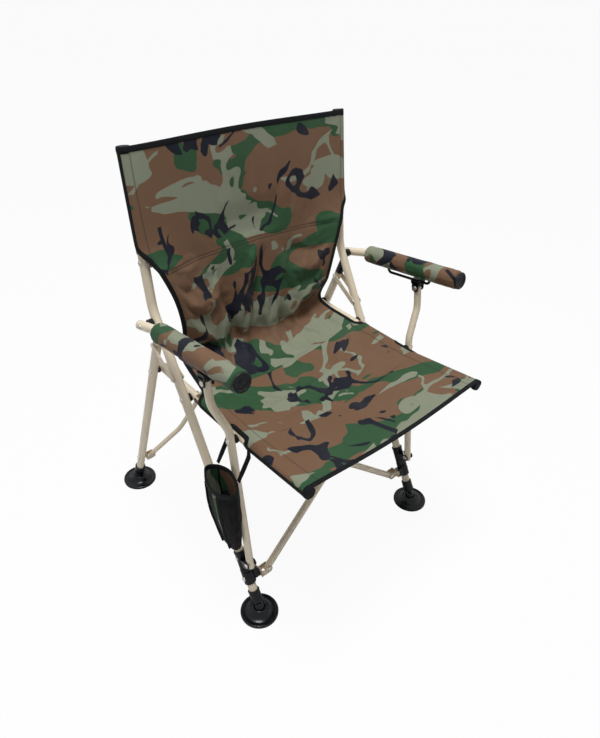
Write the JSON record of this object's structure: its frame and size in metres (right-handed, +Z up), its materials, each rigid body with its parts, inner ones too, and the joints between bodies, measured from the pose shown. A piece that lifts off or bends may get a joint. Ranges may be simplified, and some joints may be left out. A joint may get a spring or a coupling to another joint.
{
  "type": "folding camp chair",
  "caption": "Folding chair with a painted tube frame, sling seat and back, foam arms on sliding posts, crossed braces, swivel feet and a hanging cup pocket.",
  "frame": {"origin": "on the floor, midway between the two side frames; the front feet stand 226 mm ahead and the rear feet 298 mm behind", "axes": "+X to the sitter's left, +Y to the rear (the sitter faces -Y), +Z up"},
  "size_m": [0.6185, 0.686, 0.9179],
  "materials": {
    "frame_paint": "satin",
    "clevis_paint": "satin",
    "black_plastic": "gloss",
    "black_rubber": "satin",
    "camo_cloth": "matte",
    "black_webbing": "matte"
  },
  "bodies": {
    "side_right": {"upright_right": "frame_paint", "front_saddle_right": "black_plastic", "seat_pivot_spacer_right": "black_plastic", "arm_pivot_spacer_right": "black_plastic", "front_ferrule_right": "black_plastic", "back_panel": "camo_cloth"},
    "lower_clevis_right": {"front_lower_clevis_right": "clevis_paint"},
    "cross_right": {"front_cross_tube_right": "frame_paint"},
    "cross_left": {"front_cross_tube_left": "frame_paint"},
    "lower_clevis_left": {"front_lower_clevis_left": "clevis_paint"},
    "side_left": {"upright_left": "frame_paint", "front_saddle_left": "black_plastic", "seat_pivot_spacer_left": "black_plastic", "arm_pivot_spacer_left": "black_plastic", "front_ferrule_left": "black_plastic"},
    "upper_clevis_right": {"front_upper_clevis_right": "clevis_paint"},
    "upper_clevis_left": {"front_upper_clevis_left": "clevis_paint"},
    "slider_right": {"slider_right": "black_plastic"},
    "post_right": {"arm_post_right": "frame_paint", "cup_pocket": "camo_cloth", "pocket_straps": "black_webbing"},
    "runner_right": {"arm_runner_right": "black_plastic"},
    "arm_right": {"arm_tube_right": "frame_paint", "arm_sleeve_right": "camo_cloth", "arm_plug_right": "black_plastic", "arm_wire_right": "black_plastic"},
    "rail_right": {"seat_rail_right": "frame_paint", "post_pivot_spacer_right": "black_plastic", "seat_panel": "camo_cloth"},
    "leg_right": {"rear_leg_right": "frame_paint", "rear_leg_saddle_right": "black_plastic", "rear_pivot_spacer_right": "black_plastic", "rear_ferrule_right": "black_plastic"},
    "rear_lower_clevis_right": {"rear_lower_clevis_right": "clevis_paint"},
    "rear_cross_right": {"rear_cross_tube_right": "frame_paint"},
    "rear_upper_clevis_left": {"rear_upper_clevis_left": "clevis_paint"},
    "links_right": {"outer_link_right": "frame_paint", "inner_link_right": "frame_paint"},
    "front_foot_right": {"front_foot_right": "black_rubber"},
    "rear_foot_right": {"rear_foot_right": "black_rubber"},
    "slider_left": {"slider_left": "black_plastic"},
    "post_left": {"arm_post_left": "frame_paint"},
    "runner_left": {"arm_runner_left": "black_plastic"},
    "arm_left": {"arm_tube_left": "frame_paint", "arm_sleeve_left": "camo_cloth", "arm_plug_left": "black_plastic", "arm_wire_left": "black_plastic"},
    "rail_left": {"seat_rail_left": "frame_paint", "post_pivot_spacer_left": "black_plastic"},
    "leg_left": {"rear_leg_left": "frame_paint", "rear_leg_saddle_left": "black_plastic", "rear_pivot_spacer_left": "black_plastic", "rear_ferrule_left": "black_plastic"},
    "rear_lower_clevis_left": {"rear_lower_clevis_left": "clevis_paint"},
    "rear_cross_left": {"rear_cross_tube_left": "frame_paint"},
    "rear_upper_clevis_right": {"rear_upper_clevis_right": "clevis_paint"},
    "links_left": {"outer_link_left": "frame_paint", "inner_link_left": "frame_paint"},
    "front_foot_left": {"front_foot_left": "black_rubber"},
    "rear_foot_left": {"rear_foot_left": "black_rubber"}
  },
  "joints": [
    {"name": "lower_clevis_right_turn", "type": "hinge", "parent": "side_right", "child": "lower_clevis_right", "pos_m": [-0.255, -0.18882, 0.08763], "axis": [1, 0, 0], "range_deg": [-12.57, 0]},
    {"name": "fold", "type": "hinge", "parent": "lower_clevis_right", "child": "cross_right", "pos_m": [-0.21, -0.18882, 0.08763], "axis": [0, -0.9923, 0.124], "range_deg": [0, 40], "deforming": ["seat_panel", "back_panel"]},
    {"name": "cross_left_turn", "type": "hinge", "parent": "cross_right", "child": "cross_left", "pos_m": [0, -0.16696, 0.26261], "axis": [0, -0.9923, 0.124], "range_deg": [-80.01, 0]},
    {"name": "lower_clevis_left_turn", "type": "hinge", "parent": "cross_left", "child": "lower_clevis_left", "pos_m": [0.21, -0.18882, 0.08763], "axis": [0, -0.9923, 0.124], "range_deg": [0, 40.01]},
    {"name": "side_left_turn", "type": "hinge", "parent": "lower_clevis_left", "child": "side_left", "pos_m": [0.255, -0.18882, 0.08763], "axis": [1, 0, 0], "range_deg": [0, 12.57]},
    {"name": "upper_clevis_right_turn", "type": "hinge", "parent": "cross_left", "child": "upper_clevis_right", "pos_m": [-0.21, -0.14509, 0.43759], "axis": [0, -0.9923, 0.124], "range_deg": [0, 40.01]},
    {"name": "upper_clevis_left_turn", "type": "hinge", "parent": "cross_right", "child": "upper_clevis_left", "pos_m": [0.21, -0.14509, 0.43759], "axis": [0, -0.9923, 0.124], "range_deg": [-40.01, 0]},
    {"name": "slider_right_slide", "type": "slide", "parent": "side_right", "child": "slider_right", "axis": [0, 0.4818, 0.8763], "range_m": [0, 0.19371]},
    {"name": "post_right_turn", "type": "hinge", "parent": "slider_right", "child": "post_right", "pos_m": [-0.255, -0.1956, 0.13757], "axis": [1, 0, 0], "range_deg": [-8.86, 0]},
    {"name": "runner_right_turn", "type": "hinge", "parent": "post_right", "child": "runner_right", "pos_m": [-0.284, -0.12087, 0.58514], "axis": [1, 0, 0], "range_deg": [-68.74, 0]},
    {"name": "arm_right_slide", "type": "slide", "parent": "runner_right", "child": "arm_right", "axis": [0, -0.9923, 0.1236], "range_m": [0, 0.0623]},
    {"name": "rail_right_turn", "type": "hinge", "parent": "side_right", "child": "rail_right", "pos_m": [-0.233, 0.0111, 0.4513], "axis": [1, 0, 0], "range_deg": [-86.01, 0]},
    {"name": "leg_right_turn", "type": "hinge", "parent": "rail_right", "child": "leg_right", "pos_m": [-0.255, 0.13307, 0.45428], "axis": [1, 0, 0], "range_deg": [0, 45.56]},
    {"name": "rear_lower_clevis_right_turn", "type": "hinge", "parent": "leg_right", "child": "rear_lower_clevis_right", "pos_m": [-0.255, 0.26473, 0.10841], "axis": [1, 0, 0], "range_deg": [0, 9.97]},
    {"name": "rear_cross_right_turn", "type": "hinge", "parent": "rear_lower_clevis_right", "child": "rear_cross_right", "pos_m": [-0.23, 0.26473, 0.10841], "axis": [0, -0.9702, -0.2424], "range_deg": [0, 26.46]},
    {"name": "rear_upper_clevis_left_turn", "type": "hinge", "parent": "rear_cross_right", "child": "rear_upper_clevis_left", "pos_m": [0.23, 0.11411, 0.71121], "axis": [0, -0.9702, -0.2424], "range_deg": [-26.46, 0]},
    {"name": "links_right_turn", "type": "hinge", "parent": "side_right", "child": "links_right", "pos_m": [-0.255, 0.03351, 0.49205], "axis": [1, 0, 0], "range_deg": [-109.89, 0]},
    {"name": "front_foot_right_swivel", "type": "hinge", "parent": "side_right", "child": "front_foot_right", "pos_m": [-0.255, -0.22601, 0.02], "axis": [1, 0, 0], "range_deg": [-18, 18]},
    {"name": "rear_foot_right_swivel", "type": "hinge", "parent": "leg_right", "child": "rear_foot_right", "pos_m": [-0.255, 0.29839, 0.02], "axis": [1, 0, 0], "range_deg": [-18, 18]},
    {"name": "slider_left_slide", "type": "slide", "parent": "side_left", "child": "slider_left", "axis": [0, 0.4818, 0.8763], "range_m": [0, 0.19371]},
    {"name": "post_left_turn", "type": "hinge", "parent": "slider_left", "child": "post_left", "pos_m": [0.255, -0.1956, 0.13757], "axis": [1, 0, 0], "range_deg": [-8.86, 0]},
    {"name": "runner_left_turn", "type": "hinge", "parent": "post_left", "child": "runner_left", "pos_m": [0.284, -0.12087, 0.58514], "axis": [1, 0, 0], "range_deg": [-68.74, 0]},
    {"name": "arm_left_slide", "type": "slide", "parent": "runner_left", "child": "arm_left", "axis": [0, -0.9923, 0.1236], "range_m": [0, 0.0623]},
    {"name": "rail_left_turn", "type": "hinge", "parent": "side_left", "child": "rail_left", "pos_m": [0.233, 0.0111, 0.4513], "axis": [1, 0, 0], "range_deg": [-86.01, 0]},
    {"name": "leg_left_turn", "type": "hinge", "parent": "rail_left", "child": "leg_left", "pos_m": [0.255, 0.13307, 0.45428], "axis": [1, 0, 0], "range_deg": [0, 45.56]},
    {"name": "rear_lower_clevis_left_turn", "type": "hinge", "parent": "leg_left", "child": "rear_lower_clevis_left", "pos_m": [0.255, 0.26473, 0.10841], "axis": [1, 0, 0], "range_deg": [0, 9.97]},
    {"name": "rear_cross_left_turn", "type": "hinge", "parent": "rear_lower_clevis_left", "child": "rear_cross_left", "pos_m": [0.23, 0.26473, 0.10841], "axis": [0, -0.9702, -0.2424], "range_deg": [-26.46, 0]},
    {"name": "rear_upper_clevis_right_turn", "type": "hinge", "parent": "rear_cross_left", "child": "rear_upper_clevis_right", "pos_m": [-0.23, 0.11411, 0.71121], "axis": [0, -0.9702, -0.2424], "range_deg": [0, 26.46]},
    {"name": "links_left_turn", "type": "hinge", "parent": "side_left", "child": "links_left", "pos_m": [0.255, 0.03351, 0.49205], "axis": [1, 0, 0], "range_deg": [-109.89, 0]},
    {"name": "front_foot_left_swivel", "type": "hinge", "parent": "side_left", "child": "front_foot_left", "pos_m": [0.255, -0.22601, 0.02], "axis": [1, 0, 0], "range_deg": [-18, 18]},
    {"name": "rear_foot_left_swivel", "type": "hinge", "parent": "leg_left", "child": "rear_foot_left", "pos_m": [0.255, 0.29839, 0.02], "axis": [1, 0, 0], "range_deg": [-18, 18]}
  ],
  "couplings": [
    {"joint": "lower_clevis_right_turn", "follows": "fold", "ratio": -0.31411},
    {"joint": "cross_left_turn", "follows": "fold", "ratio": -2},
    {"joint": "lower_clevis_left_turn", "follows": "fold", "ratio": 1},
    {"joint": "side_left_turn", "follows": "fold", "ratio": 0.31411},
    {"joint": "upper_clevis_right_turn", "follows": "fold", "ratio": 1},
    {"joint": "upper_clevis_left_turn", "follows": "fold", "ratio": -1},
    {"joint": "slider_right_slide", "follows": "fold", "m_per_rad": 0.27746},
    {"joint": "post_right_turn", "follows": "fold", "ratio": -0.22116},
    {"joint": "runner_right_turn", "follows": "fold", "ratio": -1.7183},
    {"joint": "arm_right_slide", "follows": "fold", "m_per_rad": 0.089218},
    {"joint": "rail_right_turn", "follows": "fold", "ratio": -2.15},
    {"joint": "leg_right_turn", "follows": "fold", "ratio": 1.1387},
    {"joint": "rear_lower_clevis_right_turn", "follows": "fold", "ratio": 0.24894},
    {"joint": "rear_cross_right_turn", "follows": "fold", "ratio": 0.66135},
    {"joint": "rear_upper_clevis_left_turn", "follows": "fold", "ratio": -0.66135},
    {"joint": "links_right_turn", "follows": "fold", "ratio": -2.747},
    {"joint": "slider_left_slide", "follows": "fold", "m_per_rad": 0.27746},
    {"joint": "post_left_turn", "follows": "fold", "ratio": -0.22116},
    {"joint": "runner_left_turn", "follows": "fold", "ratio": -1.7183},
    {"joint": "arm_left_slide", "follows": "fold", "m_per_rad": 0.089218},
    {"joint": "rail_left_turn", "follows": "fold", "ratio": -2.15},
    {"joint": "leg_left_turn", "follows": "fold", "ratio": 1.1387},
    {"joint": "rear_lower_clevis_left_turn", "follows": "fold", "ratio": 0.24894},
    {"joint": "rear_cross_left_turn", "follows": "fold", "ratio": -0.66135},
    {"joint": "rear_upper_clevis_right_turn", "follows": "fold", "ratio": 0.66135},
    {"joint": "links_left_turn", "follows": "fold", "ratio": -2.747}
  ]
}
